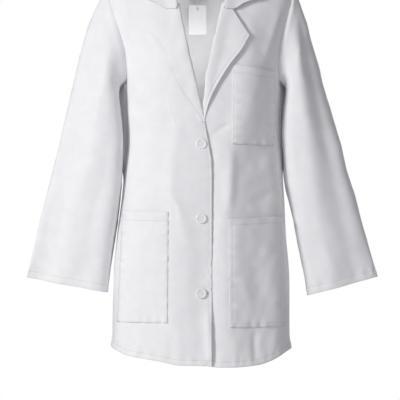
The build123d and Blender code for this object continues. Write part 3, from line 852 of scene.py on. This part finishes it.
def poplin_material():
    """Poly-cotton poplin, woven, optic white. The fine plain weave breaks up the light, the slight
    sheen lifts grazing edges, and a painted shade darkens the colour along the stitch rows."""
    material, tree, shader, place = new_material("Poly-cotton poplin")
    # Yarns of 0.35 mm would vanish at this size, so the weave is drawn at 1.1 mm.
    pitch = 0.0011
    stitch_length = 0.0028
    split = add_node(tree, "ShaderNodeSeparateXYZ", {0: place})
    turns = [maths(tree, "MULTIPLY", split.outputs[axis], 2 * math.pi / pitch) for axis in "XZ"]
    across, along = (maths(tree, "SINE", turn) for turn in turns)
    yarn = maths(tree, "MULTIPLY", across, along)
    slub = noise(tree, place, 420.0, Detail=3.0)
    crease = noise(tree, place, 38.0, Detail=4.0, Roughness=0.55)
    gap = add_node(tree, "ShaderNodeAttribute", attribute_name="stitch_gap").outputs["Fac"]
    run = add_node(tree, "ShaderNodeAttribute", attribute_name="stitch_run").outputs["Fac"]
    off = maths(tree, "ABSOLUTE", gap)
    line = remap(tree, off, 0.0003, 0.00055, 1.0, 0.0)
    beat = maths(tree, "SINE", maths(tree, "MULTIPLY", run, 2 * math.pi / stitch_length))
    thread = maths(tree, "MULTIPLY", line, maths(tree, "GREATER_THAN", beat, -0.55))
    cloud = remap(tree, crease, 0.3, 0.7, 0.0, 1.0)
    base = mixed(tree, cloud, linear("#F0F0F1"), linear("#EBEBED"))
    # Painted shade: the colour is darkened to 0.9 right beside each stitch row, where the groove's shadow
    # would fall.
    painted_stitch_shade = remap(tree, off, 0.0002, 0.0014, 0.90, 1.0)
    height = maths(tree, "MULTIPLY_ADD", thread, 3.0, maths(tree, "MULTIPLY_ADD", slub, 0.5, yarn))
    fine = bumped(tree, height, 0.25, 0.00012)
    fill(tree, shader, {
        "Base Color": mixed(tree, 1.0, base, painted_stitch_shade, blend_type="MULTIPLY"),
        "Normal": bumped(tree, crease, 0.35, 0.0011, Normal=fine),
        "Roughness": remap(tree, slub, 0.3, 0.7, 0.74, 0.88),
        "Sheen Weight": 0.12,
        "Sheen Roughness": 0.5,
        "Specular IOR Level": 0.25,
    })
    return material


def thread_material():
    """Spun polyester sewing thread, twisted. A finer grain than cloth with a soft gloss."""
    material, tree, shader, place = new_material("Spun polyester thread")
    inputs = {"Vector": place, "Scale": 900.0, "Distortion": 1.0}
    twist = add_node(tree, "ShaderNodeTexWave", inputs, bands_direction="DIAGONAL").outputs["Fac"]
    normal = bumped(tree, twist, 0.5, 0.0001)
    colour = linear("#F1F1EF")
    fill(tree, shader, {"Base Color": colour, "Normal": normal, "Roughness": 0.55, "Sheen Weight": 0.2})
    return material


def button_material():
    """Cast polyester resin, turned and tumbled. Slightly milky with a soft shine on the rim."""
    material, tree, shader, place = new_material("Cast polyester button resin")
    cloud = noise(tree, place, 190.0, Detail=3.0)
    fill(tree, shader, {
        "Base Color": mixed(tree, cloud, linear("#F3F3F2"), linear("#E6E6E8")),
        "Roughness": remap(tree, cloud, 0.3, 0.7, 0.16, 0.3),
        "Normal": bumped(tree, cloud, 0.15, 0.0002),
        "IOR": 1.54,
        "Subsurface Weight": 0.1,
        "Subsurface Scale": 0.002,
    })
    return material


def nylon_material():
    """Moulded nylon, drawn thin. Cloudy white with a satin surface."""
    material, tree, shader, place = new_material("Moulded nylon")
    rough = remap(tree, noise(tree, place, 500.0), 0.3, 0.7, 0.3, 0.45)
    fill(tree, shader, {"Base Color": linear("#EDEDEB"), "Roughness": rough, "IOR": 1.53})
    return material


def card_material():
    """Uncoated card, pressed pulp. A faint fibre mottle and a dry matte face."""
    material, tree, shader, place = new_material("Uncoated card")
    fibre = noise(tree, place, 700.0, Detail=5.0)
    base = mixed(tree, fibre, linear("#FAFAF9"), linear("#F0F0F0"))
    normal = bumped(tree, fibre, 0.2, 0.0001)
    fill(tree, shader, {"Base Color": base, "Normal": normal, "Roughness": 0.8})
    return material


def paper_material():
    """Matte backdrop paper, coated evenly. A plain pale face with no shine."""
    material, tree, shader, _ = new_material("Matte paper backdrop")
    fill(tree, shader, {"Base Color": linear("#F4F4F4"), "Roughness": 0.9})
    return material


def paint(piece, material):
    """Makes the material the piece's only one."""
    piece.data.materials.clear()
    piece.data.materials.append(material)


def shared(name, maker):
    """The material of that name, made when first asked for."""
    return bpy.data.materials.get(name) or maker()


def poplin():
    """The cloth of the whole coat."""
    return shared("Poly-cotton poplin", poplin_material)


def dress(pairs, body, material, flats):
    """Gives made cloth its material and body, and hides its stand-ins. The flat sizes are not used."""
    for (piece, nodes), (flat, area) in zip(pairs, flats):
        paint(piece, material)
        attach(piece, body)
        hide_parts(*nodes)


# ---------------------------------------------------------------------------------------------
# Add-on
# ---------------------------------------------------------------------------------------------


# Metres: floor below the hem, camera's place, and how far before the origin the view's width holds
FLOOR_DROP = 0.42
CAMERA_X, CAMERA_Z = -0.002, -0.484
VIEW_PLANE = 0.05
# Where the lamp inside the coat points, and the colour of the light from all round
INNER_TARGET = Vector((0, 0.07, -0.08))
SKY_LIGHT = (0.24, 0.24, 0.255, 1)


class LabCoatSettings(bpy.types.PropertyGroup):
    """What a user would change"""

    folds: FloatProperty(
        name="Fold depth", description="How deep the cloth's folds are", default=1.0, min=0.0, max=2.0
    )
    width: FloatProperty(
        name="View width", description="Width of the view at the coat's front", default=0.80, unit="LENGTH"
    )
    distance: FloatProperty(
        name="Camera distance", description="From the camera to the coat", default=4.6, unit="LENGTH"
    )
    key_light: FloatProperty(
        name="Key light", description="Power of the light at the left", default=72.0, unit="POWER"
    )
    fill_light: FloatProperty(
        name="Fill light", description="Power of the light before the coat", default=15.0, unit="POWER"
    )
    inner_light: FloatProperty(
        name="Inner light", description="Power of the light inside the coat", default=0.145, unit="POWER"
    )
    backdrop: FloatVectorProperty(
        name="Backdrop", description="Colour behind the coat", default=(1.0, 1.0, 1.0), subtype="COLOR"
    )


class LABCOAT_OT_torso(bpy.types.Operator):
    """Make the back, both fronts and their facings with the lapels"""

    bl_idname = "lab_coat.torso"
    bl_label = "Back and fronts"

    def execute(self, context):
        dress(make_back(), "coat", poplin(), (((0.60, 0.83), 0.40), ((0.16, 0.07), 0.009)))
        dress(make_right_front(), "coat", poplin(), (((0.34, 0.83), 0.20), ((0.13, 0.76), 0.062)))
        dress(make_left_front(), "coat", poplin(), (((0.34, 0.83), 0.20), ((0.13, 0.76), 0.062)))
        return {"FINISHED"}


class LABCOAT_OT_collar(bpy.types.Operator):
    """Make the upper and under collar"""

    bl_idname = "lab_coat.collar"
    bl_label = "Collar"

    def execute(self, context):
        dress(make_collar(), "coat", poplin(), (((0.50, 0.12), 0.045), ((0.50, 0.08), 0.025)))
        return {"FINISHED"}


class LABCOAT_OT_sleeves(bpy.types.Operator):
    """Make both sleeves"""

    bl_idname = "lab_coat.sleeves"
    bl_label = "Sleeves"

    def execute(self, context):
        for name, rings, side, seed in (("right", RIGHT_SLEEVE, -1, 61), ("left", LEFT_SLEEVE, 1, 62)):
            piece = make_sleeve(f"{name}_sleeve_cloth", rings, side, seed)
            paint(piece, poplin())
            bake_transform(piece)
            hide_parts(f"{name}_sleeve")
        return {"FINISHED"}


class LABCOAT_OT_pockets(bpy.types.Operator):
    """Make the chest pocket and both hip pockets"""

    bl_idname = "lab_coat.pockets"
    bl_label = "Pockets"

    def execute(self, context):
        rows = (
            ("chest", CHEST_POCKET, 71, 15.0, 2.0),
            ("left", LEFT_POCKET, 72, 12.0, 3.2),
            ("right", RIGHT_POCKET, 73, 18.0, 3.0),
        )
        for name, corners, seed, hem_height, bulge in rows:
            piece = make_pocket(
                f"{name}_pocket_cloth", corners, seed, hem_height, bulge, POCKET_PUFFS[name], name == "left"
            )
            flat = (0.10, 0.155) if name == "chest" else (0.15, 0.22)
            dress([(piece, [f"{name}_pocket"])], "coat", poplin(), ((flat, None),))
        return {"FINISHED"}


class LABCOAT_OT_trimmings(bpy.types.Operator):
    """Finish the buttons, their threads, the stitches, the hanger loop, the label and the tag"""

    bl_idname = "lab_coat.trimmings"
    bl_label = "Buttons and trimmings"

    def execute(self, context):
        stitches = make_buttonholes()
        paint(stitches, shared("Spun polyester thread", thread_material))
        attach(stitches, "coat")
        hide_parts("buttonhole_stitching")
        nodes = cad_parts
        for place_name in ("top", "middle", "bottom"):
            paint(nodes[f"button_{place_name}"], shared("Cast polyester button resin", button_material))
            paint(nodes[f"thread_{place_name}"], shared("Spun polyester thread", thread_material))
        paint(nodes["hanger_loop"], poplin())
        paint(nodes["neck_label"], poplin())
        paint(nodes["tag_fastener"], shared("Moulded nylon", nylon_material))
        paint(nodes["swing_tag"], shared("Uncoated card", card_material))
        return {"FINISHED"}


class LABCOAT_OT_stage(bpy.types.Operator):
    """Make the floor, the lights and the camera"""

    bl_idname = "lab_coat.stage"
    bl_label = "Stage"

    def execute(self, context):
        scene, settings = context.scene, context.scene.lab_coat
        low, high = CAD_BOX
        under = (0, 0, low[2] - FLOOR_DROP)
        bpy.ops.mesh.primitive_circle_add(vertices=96, radius=1.4, fill_type="NGON", location=under)
        floor = context.object
        floor.name = "studio_floor"
        paint(floor, paper_material())
        middle = Vector((0, 0, (low[2] + high[2]) / 2))
        lights = (
            ("key", (-2.4, -2.3, 0.5), 0.9, settings.key_light, (1.0, 1.0, 0.995)),
            ("fill", (0.4, -3.2, 0.3), 1.8, settings.fill_light, (0.95, 0.95, 1.0)),
            ("back", (1.2, 3.0, 0.4), 1.6, settings.fill_light * 2.2, (1.0, 1.0, 1.0)),
            ("inner", (0.0, -0.05, -0.22), 0.12, settings.inner_light, (1.0, 1.0, 1.0)),
        )
        for name, where, size, power, colour in lights:
            data = bpy.data.lights.new(name, "AREA")
            data.shape, data.size, data.energy, data.color = "DISK", size, power, colour
            target = INNER_TARGET if name == "inner" else middle
            lamp = bpy.data.objects.new(name, data)
            scene.collection.objects.link(lamp)
            lamp.location = where
            lamp.rotation_euler = (target - Vector(where)).to_track_quat("-Z", "Y").to_euler()
            lamp.visible_camera = False
        world = bpy.data.worlds.new("studio")
        scene.world = world
        world.use_nodes = True
        tree = world.node_tree
        ray = add_node(tree, "ShaderNodeLightPath").outputs["Is Camera Ray"]
        sky = mixed(tree, ray, SKY_LIGHT, (*settings.backdrop, 1))
        tree.links.new(sky, tree.nodes["Background"].inputs["Color"])
        scene.view_settings.view_transform = "Standard"
        camera = bpy.data.objects.new("camera", bpy.data.cameras.new("camera"))
        scene.collection.objects.link(camera)
        reach = settings.distance
        camera.data.lens = camera.data.sensor_width * (reach - VIEW_PLANE) / settings.width
        camera.data.clip_end = 20.0
        camera.location = (CAMERA_X, -reach, CAMERA_Z)
        camera.rotation_euler = (math.pi / 2, 0, 0)
        scene.camera = camera
        return {"FINISHED"}


OPERATORS = (
    LABCOAT_OT_torso,
    LABCOAT_OT_collar,
    LABCOAT_OT_sleeves,
    LABCOAT_OT_pockets,
    LABCOAT_OT_trimmings,
    LABCOAT_OT_stage,
)


class LABCOAT_PT_panel(bpy.types.Panel):
    """The coat's pieces and sizes"""

    bl_idname = "LABCOAT_PT_panel"
    bl_label = "Lab coat"
    bl_space_type = "VIEW_3D"
    bl_region_type = "UI"
    bl_category = "Lab coat"

    def draw(self, context):
        for operator in OPERATORS:
            self.layout.operator(operator.bl_idname)
        for name in LabCoatSettings.__annotations__:
            self.layout.prop(context.scene.lab_coat, name)


CLASSES = (LabCoatSettings, *OPERATORS, LABCOAT_PT_panel)


def register():
    for item in CLASSES:
        bpy.utils.register_class(item)
    bpy.types.Scene.lab_coat = PointerProperty(type=LabCoatSettings)


def unregister():
    del bpy.types.Scene.lab_coat
    for item in reversed(CLASSES):
        bpy.utils.unregister_class(item)


def main():
    register()
    for name in ("torso", "collar", "sleeves", "pockets", "trimmings", "stage"):
        getattr(bpy.ops.lab_coat, name)()


if __name__ == "__main__":
    main()
